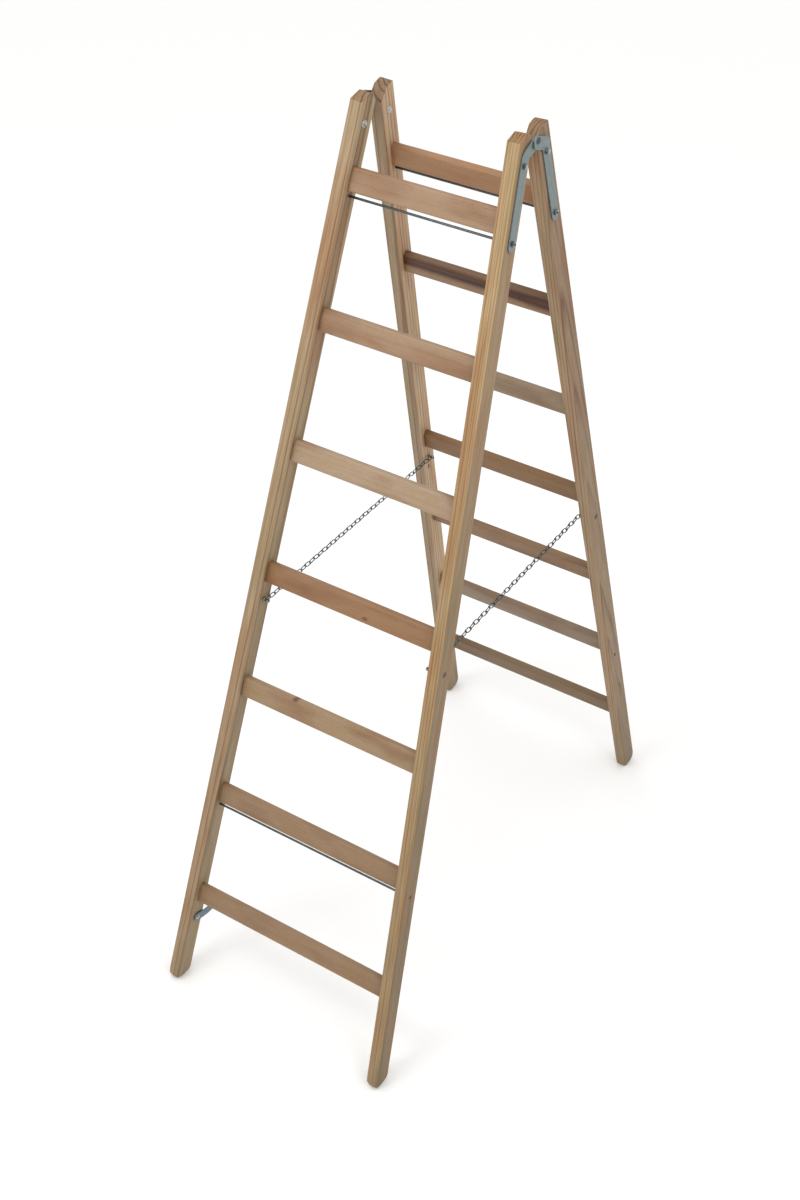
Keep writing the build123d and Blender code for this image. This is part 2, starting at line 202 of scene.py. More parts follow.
scene.view_settings.view_transform = "Standard"
world = bpy.data.worlds.new("studio")
world.use_nodes = True
upwards = add(world, "TexCoord")
height = add(world, "SeparateXYZ", {0: upwards.outputs["Generated"]})
room = add(world, "ValToRGB", {"Fac": height.outputs["Z"]}, [(0.05, WALLS), (0.5, CEILING)])
background = world.node_tree.nodes["Background"]
background.inputs["Strength"].default_value = ROOM_STRENGTH
world.node_tree.links.new(room.outputs[0], background.inputs["Color"])
scene.world = world

for name, (place, power) in LAMPS.items():
    light = bpy.data.lights.new(name, "AREA")
    light.size = LAMP_SIZE
    light.energy = power
    lamp = bpy.data.objects.new(name, light)
    lamp.matrix_world = looking(place, LAMP_AIM)
    scene.collection.objects.link(lamp)
    print(name, power, "W")

# %% [markdown]
# ## Pine, the bent trunk
# The stiles are planed and sanded pine. A tree adds a ring each year: wide pale wood in spring, then
# a thin band of hard orange wood in late summer. A board shows the rings as lines on its narrow edges
# and as broad flames on its wide faces. Stripes painted on each side would do, but they would not
# meet at the corners. We draw the rings where they are in the tree, as shells round the heart of the
# trunk, so that all sides and the end grain fit by themselves. No trunk is straight, so we first ask
# where a point would be if the tree had not bent.

# %% Straighten the trunk
TRUNK_BEND = (16 * MM, 40 * MM, 0.03, 1.0)      # how far, over what width, stretch along it, detail
GRAIN_WAVES = (2.2 * MM, 15 * MM, 0.1, 2.0)


def straightened(wood, here, heart):
    """Where a point would be in a trunk without its slow bend and its small waves."""
    there = here
    for shift, width, stretch, detail in (TRUNK_BEND, GRAIN_WAVES):
        drawn_out = add(wood, "Mapping", {"Vector": here, "Location": heart, "Scale": (1, 1, stretch)})
        noise = add(wood, "TexNoise", {"Vector": drawn_out, "Scale": 1 / width, "Detail": detail})
        moved = {0: noise.outputs["Color"], 1: (shift, shift, 0), 2: there}
        there = add(wood, "VectorMath", moved, operation="MULTIPLY_ADD")
    return there


print("trunks bend by up to", round(TRUNK_BEND[0] / MM), "mm")

# %% [markdown]
# ## Pine, knots
# A knot is a branch that the trunk grew round. A dark disc alone would look pasted on, because the
# grain of real wood swerves round a knot. So a knot does two things here: it pushes the rings aside,
# more the nearer they are, and it darkens the wood at its core.

# %% Knots in pine
KNOT_LONG = 0.5             # its width as a share of its length along the grain
KNOT_REACH = 4.0            # times its radius: how far off the grain still swerves
KNOT_PUSH = 2.2             # times its radius: how far the rings are pushed
KNOT_CORE = (0.5, 1.1)      # times its radius: where the dark core begins to fade, and where it ends
KNOT_BROWN = "#5B3B22"


def grown_round_knots(wood, here, there, knots):
    """Push the grain aside at each knot, and say how dark the cores make a point, if there are any."""
    dark = None
    for across, height, radius in knots:
        middle = Vector((0, across, height)) * MM
        from_knot = add(wood, "VectorMath", {0: here, 1: middle}, operation="SUBTRACT")
        flat = add(wood, "VectorMath", {0: from_knot, 1: (0, 1, KNOT_LONG)}, operation="MULTIPLY")
        far = add(wood, "VectorMath", {0: flat}, operation="LENGTH")
        reach = {"Value": far, "From Max": KNOT_REACH * radius * MM, "To Min": 1.0, "To Max": 0.0}
        near = add(wood, "MapRange", reach, interpolation_type="SMOOTHSTEP")
        pushed = {0: near, 1: (KNOT_PUSH * radius * MM, 0, 0), 2: there}
        there = add(wood, "VectorMath", pushed, operation="MULTIPLY_ADD")
        start, end = [share * radius * MM for share in KNOT_CORE]
        core = {"Value": far, "From Min": start, "From Max": end, "To Min": 1.0, "To Max": 0.0}
        core = add(wood, "MapRange", core)
        dark = core if dark is None else add(wood, "Math", {0: dark, 1: core}, operation="MAXIMUM")
    return there, dark


print("grain swerves within", KNOT_REACH, "radii of a knot")

# %% [markdown]
# ## Pine, rings
# Now a point's distance from the heart, divided by the width of a year, counts the years. What is
# left over after whole years is the season, and a ramp turns that into late wood: it comes slowly in
# summer and stops sharply in winter. Equal rings would look like a printed pattern, so the years
# differ in width, and each year draws its own strength from noise.

# %% Rings
GOOD_YEARS = 8 * MM         # how much further out good years push the rings that follow
GOOD_YEARS_OVER = 16 * MM   # the width of wood over which good and bad years take turns
WEAK_SUMMER = 0.4           # late wood of the weakest year, where the strongest has 1
SEASONS = [(0.0, "#000000"), (0.56, "#222222"), (0.8, "#C0C0C0"), (0.9, "#FFFFFF"), (1.0, "#000000")]


def rings(wood, here, heart, spacing, taper, knots):
    """How much late wood there is at a point, from 0 to 1, and how dark a knot makes it there."""
    there, dark = grown_round_knots(wood, here, straightened(wood, here, heart), knots)
    from_heart = add(wood, "VectorMath", {0: there, 1: heart}, operation="SUBTRACT")
    level = add(wood, "VectorMath", {0: from_heart, 1: (1, 1, 0)}, operation="MULTIPLY")
    shell = add(wood, "VectorMath", {0: level}, operation="LENGTH")
    height = add(wood, "SeparateXYZ", {0: here})
    tapered = {0: height.outputs["Z"], 1: taper, 2: shell}
    radius = add(wood, "Math", tapered, operation="MULTIPLY_ADD")
    weather = {"W": radius, "Scale": 1 / GOOD_YEARS_OVER, "Detail": 1.0}
    weather = add(wood, "TexNoise", weather, noise_dimensions="1D")
    radius = add(wood, "Math", {0: weather, 1: GOOD_YEARS, 2: radius}, operation="MULTIPLY_ADD")
    years = add(wood, "Math", {0: radius, 1: spacing}, operation="DIVIDE")
    season = add(wood, "Math", {0: years}, operation="FRACT")
    year = add(wood, "Math", {0: years}, operation="FLOOR")
    summer = add(wood, "TexWhiteNoise", {"W": year}, noise_dimensions="1D")
    strength = add(wood, "MapRange", {"Value": summer, "To Min": WEAK_SUMMER, "To Max": 1.0})
    late = add(wood, "ValToRGB", {"Fac": season}, SEASONS)
    return add(wood, "Math", {0: late, 1: strength}, operation="MULTIPLY"), dark


print(len(SEASONS), "stops from spring to winter")

# %% [markdown]
# ## Pine, the sides of a board
# A plane and a saw leave different sides. On the wide faces the late wood is softer to the eye than
# on the narrow edges, and the sawn ends drink in dirt and are darker. The sides could be given three
# materials, but then the corners would need seams. The direction in which a point faces tells its
# side just as well: x for the faces, y for the edges, z for the sawn ends.

# %% Sides of a board
FACE_FROM = (0.35, 0.9)     # share of the normal along x, from an edge to a full face
SAWN_FROM = (0.2, 0.55)     # share of the normal along z, from a planed side to a sawn end


def sides_of_board(wood, normal):
    """How much a point lies on a wide face, and how much on a sawn end, each from 0 to 1."""
    facing = add(wood, "SeparateXYZ", {0: normal})
    shares = []
    for axis, (start, full) in (("X", FACE_FROM), ("Z", SAWN_FROM)):
        towards = add(wood, "Math", {0: facing.outputs[axis]}, operation="ABSOLUTE")
        shares.append(add(wood, "MapRange", {"Value": towards, "From Min": start, "From Max": full}))
    return shares


print("a side is sawn from", SAWN_FROM[0])

# %% [markdown]
# ## Pine, painted shade towards the feet
# The boards are painted darker and grey-brown from the feet up, as shade for the light from above that
# falls off downwards. A dark band painted across the boards would show where it ends. The painted shade
# comes on slowly instead, in soft clouds, and the wide faces take more of it than the edges.

# %% Painted shade
# painted shade: a grey-brown that darkens the boards towards the feet
SHADE_BROWN = "#6E5A3C"
SHADE_END = -1060 * MM       # the height of the feet, from the middle of the board
SHADE_HOLD = (0.7, 1.6)      # how much painted shade the edges and the faces take


def painted_shade(wood, here, on_face, clouds, from_height, most):
    """How much painted shade a point gets: cloudy, and more so towards the feet, from a height down."""
    height = add(wood, "SeparateXYZ", {0: here})
    depth = {"From Min": from_height * MM, "From Max": SHADE_END, "To Max": most}
    darkening = add(wood, "MapRange", {"Value": height.outputs["Z"], **depth})
    hold = add(wood, "MapRange", {"Value": on_face, "To Min": SHADE_HOLD[0], "To Max": SHADE_HOLD[1]})
    shade_amount = add(wood, "Math", {0: darkening, 1: clouds}, operation="MULTIPLY")
    return add(wood, "Math", {0: shade_amount, 1: hold}, operation="MULTIPLY", use_clamp=True)


print("soil is thickest", round(-SHADE_END / MM), "mm below the middle of a board")

# %% [markdown]
# ## Pine, colour and gloss
# The colours go on in the order in which the wood got them: spring wood and late wood, the cores of
# knots, fine fibres, soft clouds of pink and green and the dark of sawn ends. Last comes painted shade:
# the boards grow darker and grey-brown towards the feet. Raw pine is matt, and its late wood is harder,
# a little proud after planing, and glossier.

# %% Pine
TRUNK_TAPER = 0.005         # the trunk narrows upwards, so rings run out at the board's edges
EDGE_FIGURE = 0.9           # how strongly late wood shows on the narrow edges
LATE_WOOD = "#6A4318"
END_SHADES = ("#E4D5C4", "#917459")     # tints on sawn ends, for spring wood and for late wood
FIBRE_WIDTH = 2.0 * MM      # a real fibre is far finer than a pixel, so this draws bundles of them
FIBRE_STRETCH = 0.02        # a pattern with less stretch than 1 is drawn out along the grain
FIBRE_SHADES = [(0.3, "#DDD5CB"), (0.65, "#FFFFFF")]
CLOUD_WIDTH = 28 * MM
CLOUD_STRETCH = 0.12
CLOUD_SHADES = [(0.3, "#F1DCCA"), (0.5, "#FFFFFF"), (0.7, "#EFF0E2")]
LATE_PROUD = 0.6            # how far late wood stands out, next to the fibres
PINE_GLOSS = (0.6, 0.48)    # roughness of spring wood and of late wood
WOOD_IOR = 1.5


def pine(name, face, edge, heart, spacing, face_figure, knots=(), shade_below=(-700, 1.0), taper=TRUNK_TAPER):
    """Planed pine: crisp lines on the edges, a softer figure on the faces, darker sawn ends."""
    wood, shader = new_material(name)
    place = add(wood, "TexCoord")
    here = place.outputs["Object"]
    on_face, sawn = sides_of_board(wood, place.outputs["Normal"])
    late, dark = rings(wood, here, Vector(heart) * MM, spacing * MM, taper, knots)
    figure = add(wood, "MapRange", {"Value": on_face, "To Min": EDGE_FIGURE, "To Max": face_figure})
    figure = add(wood, "Math", {0: figure, 1: sawn}, operation="MAXIMUM")
    late = add(wood, "Math", {0: late, 1: figure}, operation="MULTIPLY")
    colour = add(wood, "Mix", {"Factor": on_face, 6: edge, 7: face}, data_type="RGBA")
    colour = add(wood, "Mix", {"Factor": late, 6: colour, 7: LATE_WOOD}, data_type="RGBA")
    if dark:
        colour = add(wood, "Mix", {"Factor": dark, 6: colour, 7: KNOT_BROWN}, data_type="RGBA")
    fine = add(wood, "Mapping", {"Vector": here, "Scale": (1, 1, FIBRE_STRETCH)})
    fibres = add(wood, "TexNoise", {"Vector": fine, "Scale": 1 / FIBRE_WIDTH, "Detail": 3.0})
    drawn_out = {"Location": heart, "Scale": (1, 1, CLOUD_STRETCH)}
    cloudy = add(wood, "Mapping", {"Vector": here, **drawn_out})
    clouds = add(wood, "TexNoise", {"Vector": cloudy, "Scale": 1 / CLOUD_WIDTH, "Detail": 2.0})
    for pattern, stops in ((fibres, FIBRE_SHADES), (clouds, CLOUD_SHADES)):
        shades = add(wood, "ValToRGB", {"Fac": pattern}, stops)
        shaded = {"Factor": 1.0, 6: colour, 7: shades}
        colour = add(wood, "Mix", shaded, data_type="RGBA", blend_type="MULTIPLY")
    end_shade = {"Factor": late, 6: END_SHADES[0], 7: END_SHADES[1]}
    end_shade = add(wood, "Mix", end_shade, data_type="RGBA")
    shaded = {"Factor": sawn, 6: colour, 7: end_shade}
    colour = add(wood, "Mix", shaded, data_type="RGBA", blend_type="MULTIPLY")
    # painted shade: darker and grey-brown towards the feet, in clouds, more on the wide faces
    shade_amount = painted_shade(wood, here, on_face, clouds, *shade_below)
    colour = add(wood, "Mix", {"Factor": shade_amount, 6: colour, 7: SHADE_BROWN}, data_type="RGBA")
    relief = add(wood, "Math", {0: late, 1: LATE_PROUD, 2: fibres}, operation="MULTIPLY_ADD")
    bump = add(wood, "Bump", {"Height": relief, "Strength": 0.25, "Distance": 0.3 * MM})
    gloss = add(wood, "MapRange", {"Value": late, "To Min": PINE_GLOSS[0], "To Max": PINE_GLOSS[1]})
    finish_with(wood, shader, colour, gloss, bump)
    shader.inputs["IOR"].default_value = WOOD_IOR
    return wood


print("pine ready, IOR", WOOD_IOR)

# %% [markdown]
# ## Four boards of pine
# Four boards, four pieces of the tree. One material for all would give them the same lines, so each
# has a heart of its own. A heart off to the side of a wide face makes a flat-sawn board: lines on the
# edges, flames on the faces. Sizes are in millimetres from the middle of the board: x through its
# thickness, y across its width and z up. The next number is the width of a year: rings of 3 to 5 mm
# are usual, but here they are drawn wider, as finer ones would not show at this distance. Then come
# how strongly the faces show their figure, knots as place and radius, and where the painted shade begins.

# %% Boards
STILE_WOOD = {
    # yellow-grey with soft wide lines, like a board that many hands have held
    "front_left": pine("planed_pine_front_left", "#AF9878", "#A99172", (52, 10, 300), 13.0, 0.9,
                       shade_below=(400, 0.7)),
    # the crispest orange lines on its edge, a plain brown face, and two pin knots low down
    "front_right": pine("planed_pine_front_right", "#A08767", "#B3986F", (-78, -8, 1700), 6.2, 0.35,
                        knots=[(-22, -740, 1.6), (-2, -736, 1.3)], shade_below=(700, 1.25)),
    # pale and pink on its face, grey on its edges, with one knot in the middle
    "rear_left": pine("planed_pine_rear_left", "#C1A483", "#9C886E", (42, 66, 3100), 10.0, 1.0,
                      knots=[(-6, -55, 5)]),
    # grey-brown; sawn at a slant to the trunk, which gives its face short soft flames
    "rear_right": pine("planed_pine_rear_right", "#967F66", "#A28A6C", (56, -6, 4500), 8.0, 0.95,
                       taper=0.03),
}
print(len(STILE_WOOD), "boards of pine")

# %% [markdown]
# ## Beech, its grain
# The rungs are beech, a hard wood with a fine, even, pinkish grain. Its rings hardly show, so shells
# round a heart would be wasted on it. What does show are faint lines along the rung, soft patches,
# and many small brown flecks, each a ray of the trunk cut across. Four layers of noise, each drawn
# out along the grain, darken one even tone.

# %% Layers of beech
BEECH_LAYERS = {            # width across the grain, stretch along it, detail, shades
    "broad": (24 * MM, 0.04, 3.0, [(0.3, "#F8F2EB"), (0.5, "#FDFBF9"), (0.7, "#FFFFFF")]),
    "patches": (45 * MM, 0.3, 2.0, [(0.32, "#E6D6CA"), (0.55, "#FFFFFF"), (0.7, "#FBF6EC")]),
    "lines": (4 * MM, 0.015, 2.0, [(0.34, "#F8F3EE"), (0.5, "#FFFFFF")]),
    # real flecks are half as wide, too fine to show
    "flecks": (1.5 * MM, 0.2, 2.0, [(0.3, "#EADDD0"), (0.4, "#FFFFFF")]),
}


def grain_of_beech(wood, here):
    """The noise of every layer, drawn out along the grain."""
    grain = {}
    for layer, (width, stretch, detail, _) in BEECH_LAYERS.items():
        drawn_out = add(wood, "Mapping", {"Vector": here, "Scale": (1, 1, stretch)})
        grain[layer] = add(wood, "TexNoise", {"Vector": drawn_out, "Scale": 1 / width, "Detail": detail})
    return grain


def shaded_by(wood, colour, grain, *layers):
    """A colour darkened by layers of the grain."""
    for layer in layers:
        shades = add(wood, "ValToRGB", {"Fac": grain[layer]}, BEECH_LAYERS[layer][-1])
        shaded = {"Factor": 1.0, 6: colour, 7: shades}
        colour = add(wood, "Mix", shaded, data_type="RGBA", blend_type="MULTIPLY")
    return colour


print(len(BEECH_LAYERS), "layers of grain")

# %% [markdown]
# ## Beech, heartwood and knots
# One rung at the back holds a stripe of dark heartwood: it fades over the top edge, its lower edge is
# ragged, and it grows a little wider towards one end. Two rungs in front have a small knot. A second
# mesh laid over the rung could show them, but a stain lies in the wood, so both are drawn by where a
# point is on the rung: x runs down its face and z along it. Every rung is cut from its own place
# along the grain, so a place on a rung is counted from there.

# %% Heartwood and knots
RUNG_STEP = 830             # mm along the grain, from where one rung is cut to the next
HEARTWOOD = [(0.38, "#2A1000"), (0.62, "#5E310F")]
HEART_RUNG_AT = 2 * RUNG_STEP   # the second rung of its section
HEART_WIDENS = (60, 120, 8)     # mm: between these places along it, it comes to reach this much lower
HEART_RAGGED = 22 * MM      # how far its lower edge wanders with the broad grain
HEART_FADES = (9, 13)       # mm over which it fades at its upper and at its lower edge
BEECH_KNOT = 5.5 * MM       # its radius down the face
KNOT_STRETCH = (1, 0.2, 0.55)   # less than 1 draws it out: into the rung, and along it


def with_heartwood(wood, here, colour, grain, upper, lower):
    """Lay a stripe of heartwood along a rung, between two places across its face."""
    where = add(wood, "SeparateXYZ", {0: here})
    start, stop, sink = HEART_WIDENS
    along = {"From Min": (start + HEART_RUNG_AT) * MM, "From Max": (stop + HEART_RUNG_AT) * MM}
    widened = add(wood, "MapRange", {"Value": where.outputs["Z"], "To Max": -sink * MM, **along})
    depth = add(wood, "Math", {0: where.outputs["X"], 1: widened})
    ragged = {0: grain["broad"], 1: HEART_RAGGED, 2: depth}
    ragged = add(wood, "Math", ragged, operation="MULTIPLY_ADD")
    across = {"From Min": upper * MM, "From Max": (upper + HEART_FADES[0]) * MM}
    above = add(wood, "MapRange", {"Value": where.outputs["X"], **across})
    across = {"From Min": (lower - HEART_FADES[1]) * MM, "From Max": lower * MM}
    below = add(wood, "MapRange", {"Value": ragged, "To Min": 1.0, "To Max": 0.0, **across})
    stripe = add(wood, "Math", {0: above, 1: below}, operation="MULTIPLY")
    dark = add(wood, "ValToRGB", {"Fac": grain["lines"]}, HEARTWOOD)
    return add(wood, "Mix", {"Factor": stripe, 6: colour, 7: dark}, data_type="RGBA")


def with_knot(wood, here, colour, middle):
    """Draw a small oval knot at a place on a rung."""
    from_knot = add(wood, "VectorMath", {0: here, 1: Vector(middle) * MM}, operation="SUBTRACT")
    flat = add(wood, "VectorMath", {0: from_knot, 1: KNOT_STRETCH}, operation="MULTIPLY")
    far = add(wood, "VectorMath", {0: flat}, operation="LENGTH")
    size = {"From Min": BEECH_KNOT / 3, "From Max": BEECH_KNOT}
    dark = add(wood, "MapRange", {"Value": far, "To Min": 1.0, "To Max": 0.0, **size})
    return add(wood, "Mix", {"Factor": dark, 6: colour, 7: KNOT_BROWN}, data_type="RGBA")


print("knots of", round(2 * BEECH_KNOT / MM), "mm")

# %% [markdown]
# ## Beech, its tones
# No two rungs have quite the same tone: the front ones are sandy and pinkish, the rear ones go from
# amber to grey and umber. One tone for all would make the ladder look moulded in one piece, so eleven
# tones share one recipe. Planed beech is smooth, with a soft satin gloss that varies with the grain.

# %% Beech
BEECH_TONES = {
    "pale": "#A79179",
    "sand": "#9F846A",
    "amber": "#9F7957",
    "brown": "#907558",
    "stone": "#8E7B64",
    "chestnut": "#7F603E",
    "hazel": "#84684C",
    "grey": "#887763",
    "umber": "#766046",
}
KNOTTED_TONES = {           # and where the knot is on its rung, in mm
    "orange": ("#93704F", (12, 0, 42 - 4 * RUNG_STEP)),
    "tan": ("#9B8264", (-22, 0, -88 - 5 * RUNG_STEP)),
}
BEECH_GLOSS = (0.46, 0.6)   # least and greatest roughness


def beech(name, tone, heart_stripe=None, knot=None):
    """Planed beech: an even tone with faint lines along it and short dark flecks."""
    wood, shader = new_material(name)
    here = add(wood, "TexCoord").outputs["Object"]
    grain = grain_of_beech(wood, here)
    colour = shaded_by(wood, tone, grain, "broad", "patches")
    if heart_stripe:
        colour = with_heartwood(wood, here, colour, grain, *heart_stripe)
    colour = shaded_by(wood, colour, grain, "lines", "flecks")
    if knot:
        colour = with_knot(wood, here, colour, knot)
    bump = add(wood, "Bump", {"Height": grain["flecks"], "Strength": 0.12, "Distance": 0.2 * MM})
    satin = {"Value": grain["broad"], "To Min": BEECH_GLOSS[0], "To Max": BEECH_GLOSS[1]}
    gloss = add(wood, "MapRange", satin)
    finish_with(wood, shader, colour, gloss, bump)
    shader.inputs["IOR"].default_value = WOOD_IOR
    return wood


RUNG_WOOD = {tone: beech(f"planed_{tone}_beech", colour) for tone, colour in BEECH_TONES.items()}
RUNG_WOOD["heart"] = beech("planed_beech_with_heartwood", BEECH_TONES["brown"], heart_stripe=(-28, 20))
for tone, (colour, knot) in KNOTTED_TONES.items():
    RUNG_WOOD[f"{tone}_knot"] = beech(f"planed_{tone}_beech_with_knot", colour, knot=knot)
print(len(RUNG_WOOD), "kinds of beech")

# %% [markdown]
# ## Zinc-plated steel
# Straps, bolts and chains are steel with a thin coat of zinc: a cool blue-grey metal, more satin than
# mirror, with faint clouds where the bath coated it unevenly. A plain grey metal would be too even,
# and a picture of zinc would show its seams, so noise mixes two greys and varies the gloss. Eight
# finishes follow from how each piece was made.

# %% Zinc
ZINC_CLOUD = 9 * MM
SCRATCH_WIDTH = 1.2 * MM    # fine rolling marks, drawn coarser than they are
SCRATCH_STRETCH = 0.03
GLOSS_SPREAD = 0.12         # how much the marks vary the roughness, up and down
TARNISH = "#6E553B"
TARNISH_FADE = 2 * MM


def zinc(name, colour, dull_colour, roughness, tarnish_from=None):
    """Zinc plate: cloudy colour and gloss, faint marks, and brown ends beyond a distance along x."""
    metal, shader = new_material(name)
    here = add(metal, "TexCoord").outputs["Object"]
    clouds = add(metal, "TexNoise", {"Vector": here, "Scale": 1 / ZINC_CLOUD, "Detail": 4.0})
    shade = add(metal, "Mix", {"Factor": clouds, 6: colour, 7: dull_colour}, data_type="RGBA")
    if tarnish_from:
        along = add(metal, "SeparateXYZ", {0: here})
        out = add(metal, "Math", {0: along.outputs["X"]}, operation="ABSOLUTE")
        fade = {"Value": out, "From Min": tarnish_from, "From Max": tarnish_from + TARNISH_FADE}
        brown = add(metal, "MapRange", fade)
        shade = add(metal, "Mix", {"Factor": brown, 6: shade, 7: TARNISH}, data_type="RGBA")
    rolled = add(metal, "Mapping", {"Vector": here, "Scale": (1, 1, SCRATCH_STRETCH)})
    marks = add(metal, "TexNoise", {"Vector": rolled, "Scale": 1 / SCRATCH_WIDTH, "Detail": 2.0})
    spread = {"To Min": roughness - GLOSS_SPREAD, "To Max": roughness + GLOSS_SPREAD}
    satin = add(metal, "MapRange", {"Value": marks, **spread})
    bump = add(metal, "Bump", {"Height": marks, "Strength": 0.08, "Distance": 0.1 * MM})
    finish_with(metal, shader, shade, satin, bump)
    shader.inputs["Metallic"].default_value = 1.0
    return metal


print("zinc marks of", SCRATCH_WIDTH / MM, "mm")

# %% [markdown]
# ## Eight finishes of zinc
# Rolled sheet is dull and bluish. Pressed heads and turned nuts are brighter, and sparkle at their
# edges. The nut finish, which washers and small screws share, also has painted glints next to painted
# dark reflections: its colour jumps between near white and dark grey in small clouds. Drawn rod and bent
# wire are darker. The heads of the chain bolts have gone brown, and so have the ends of the lower rods,
# where hammering broke the zinc. One finish for all would lose these differences, by which the eye
# tells a nut from a strap.

# %% Finishes
PEENED_END = 6 * MM         # length of a lower rod that hammering has browned
ROD_FINISH = ("#62686A", "#464B4D", 0.34)

zinc_sheet = zinc("rolled_zinc_plated_sheet", "#8F9B9A", "#7C8788", 0.5)           # dull, bluish
zinc_head = zinc("pressed_zinc_plated_bolt_head", "#BCC0C0", "#969B9C", 0.26)      # bright and smooth
zinc_stain = zinc("tarnished_zinc_plated_bolt_head", "#7C6C60", "#5F534A", 0.5)    # brown, nearly matt
# painted glints and painted dark reflections: near white and dark grey in small clouds
zinc_painted_reflections = zinc("turned_zinc_plated_nut_with_painted_reflections", "#D2D6D7", "#4A5054", 0.14)              # glints next to dark
zinc_wire = zinc("drawn_zinc_plated_rod", *ROD_FINISH)                            # dark, one thin glint
rod_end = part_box("front_lower_tie_rod")[1].x
zinc_peened = zinc("drawn_zinc_plated_rod_with_peened_ends", *ROD_FINISH, tarnish_from=rod_end - PEENED_END)
zinc_chain = zinc("bent_zinc_plated_wire", "#5C6366", "#3B4143", 0.3)              # the darkest
zinc_hook = zinc("stamped_zinc_plated_hook", "#7E8C94", "#5F6C74", 0.42)           # blue-grey, satin
print("rods are brown beyond", round((rod_end - PEENED_END) / MM), "mm from the middle")

# %% [markdown]
# ## Boards from the solids
# The stiles and rungs have the right shape as solids, but their corners are as sharp as a drawing. A
# bevel modifier would do, if the mesh were not cut into long thin triangles. So we copy a node's
# mesh, melt its flat triangles back into whole faces, and cut a small bevel along the corners that
# are still sharp. Feet are sanded and get knocked about, so their edges are rounder.

# %% Ease the corners of a node
WELD = 0.001 * MM           # corners closer than this are one corner
FLAT = radians(0.5)         # faces that meet at less than this are one face
SHARP = radians(28)         # and at more than this they make a corner
EDGE_STEPS = 2
FOOT_STEPS = 4
FOOT_ZONE = 40 * MM


def welded(node):
    """A copy of a node's mesh in the making, with its triangles joined at their corners."""
    work = bmesh.new()
    work.from_mesh(frame["nodes"][node].data)
    bmesh.ops.remove_doubles(work, verts=work.verts, dist=WELD)
    return work


def bevel_sharp(work, radius, segments, below=None):
    """Bevel the sharp edges of a mesh in the making, or only those that lie below a height."""
    edges = [edge for edge in work.edges if edge.is_manifold and edge.calc_face_angle(0) > SHARP]
    if below is not None:
        edges = [edge for edge in edges if all(vertex.co.z < below for vertex in edge.verts)]
    bmesh.ops.bevel(work, geom=edges, offset=radius, segments=segments, profile=0.5,
                    affect="EDGES", clamp_overlap=True)


def mesh_from(work, name):
    """Turn a mesh in the making into a mesh with smooth rounds and crisp corners."""
    bmesh.ops.recalc_face_normals(work, faces=work.faces)
    mesh = bpy.data.meshes.new(name)
    work.to_mesh(mesh)
    work.free()
    mesh.shade_smooth()
    mesh.set_sharp_from_angle(angle=SHARP)
    return mesh


def eased_mesh(node, radius, foot_radius=None):
    """A node's mesh with whole faces and bevelled corners."""
    work = welded(node)
    bmesh.ops.dissolve_limit(work, angle_limit=FLAT, verts=work.verts, edges=work.edges)
    if foot_radius:
        bevel_sharp(work, foot_radius, FOOT_STEPS, below=FOOT_ZONE)
    bevel_sharp(work, radius, EDGE_STEPS)
    return mesh_from(work, node)


print("corners are sharp above", round(SHARP, 2), "rad")

# %% [markdown]
# ## Put a piece in its place
# Grain follows the board and not the room, so each copy gets axes of its own: a stile's z runs along
# the stile, which leans with its section and is splayed to its side. The copy is turned back by those
# axes and its object turned forward by them, so nothing moves. Then it rides on the body of its node,
# which it replaces.

# %% Axes and places
joints = {joint["name"]: joint for joint in frame["joints"]}
LEAN = radians(joints["fold"]["range_deg"][1]) / 2      # folding takes up the lean of both sections
SPLAY = radians(3.16)       # as in the solid model


def section_turn(section):
    """The turn that leans an upright section as it stands on the floor."""
    return Matrix.Rotation(-LEAN if section == "front" else LEAN, 4, "X")


def stile_turn(section, side):
    """The turn of a stile: splayed to its side, then leaned with its section."""
    return section_turn(section) @ Matrix.Rotation(-SPLAY if side == "right" else SPLAY, 4, "Y")


def node_middle(node):
    """The middle of a node's box."""
    low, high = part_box(node)
    return (low + high) / 2


def show(name, mesh, axes, material, node):
    """Put a mesh, given in the ladder's frame, into the scene in place of a node."""
    mesh.transform(axes.inverted())
    mesh.materials.append(material)
    piece = bpy.data.objects.new(name, mesh)
    scene.collection.objects.link(piece)
    piece.matrix_world = axes
    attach(piece, frame["nodes"][node]["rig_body"])
    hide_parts(node)
    return piece


print(f"lean {LEAN:.4f} rad, splay {SPLAY:.4f} rad")

# %% [markdown]
# ## Stiles
# Each stile is one planed board. A box of the right size would miss its shaped top, its mortises and
# the level cut of its foot, so it is a copy of its node. Its material knows where in the tree it
# grew.

# %% Stiles
STILE_EASE = 1.2 * MM
FOOT_EASE = 8.0 * MM        # held to about 7 mm by the rounded toe

for section in ("front", "rear"):
    for side in ("left", "right"):
        node = f"{section}_{side}_stile"
        axes = Matrix.Translation(node_middle(node)) @ stile_turn(section, side)
        mesh = eased_mesh(node, STILE_EASE, FOOT_EASE)
        stile = show(f"{node}_board", mesh, axes, STILE_WOOD[f"{section}_{side}"], node)
        print(stile.name, len(stile.data.polygons), "faces")

# %% [markdown]
# ## Rungs
# Seven flat bars in each section, tenoned into the stiles. A rung's grain runs along it, so its copy
# is turned until z points along the rung. With the origin in the middle of each, all rungs would show
# the same lines, so it is moved along the grain: every rung is then cut from another place in the tree.

# %% Rungs
RUNG_EASE = 0.8 * MM
ALONG_RUNG = Matrix.Rotation(pi / 2, 4, "Y")
RUNG_TONES = {
    "front": ["sand", "sand", "pale", "orange_knot", "tan_knot", "brown", "brown"],
    "rear": ["amber", "heart", "stone", "chestnut", "hazel", "grey", "umber"],
}

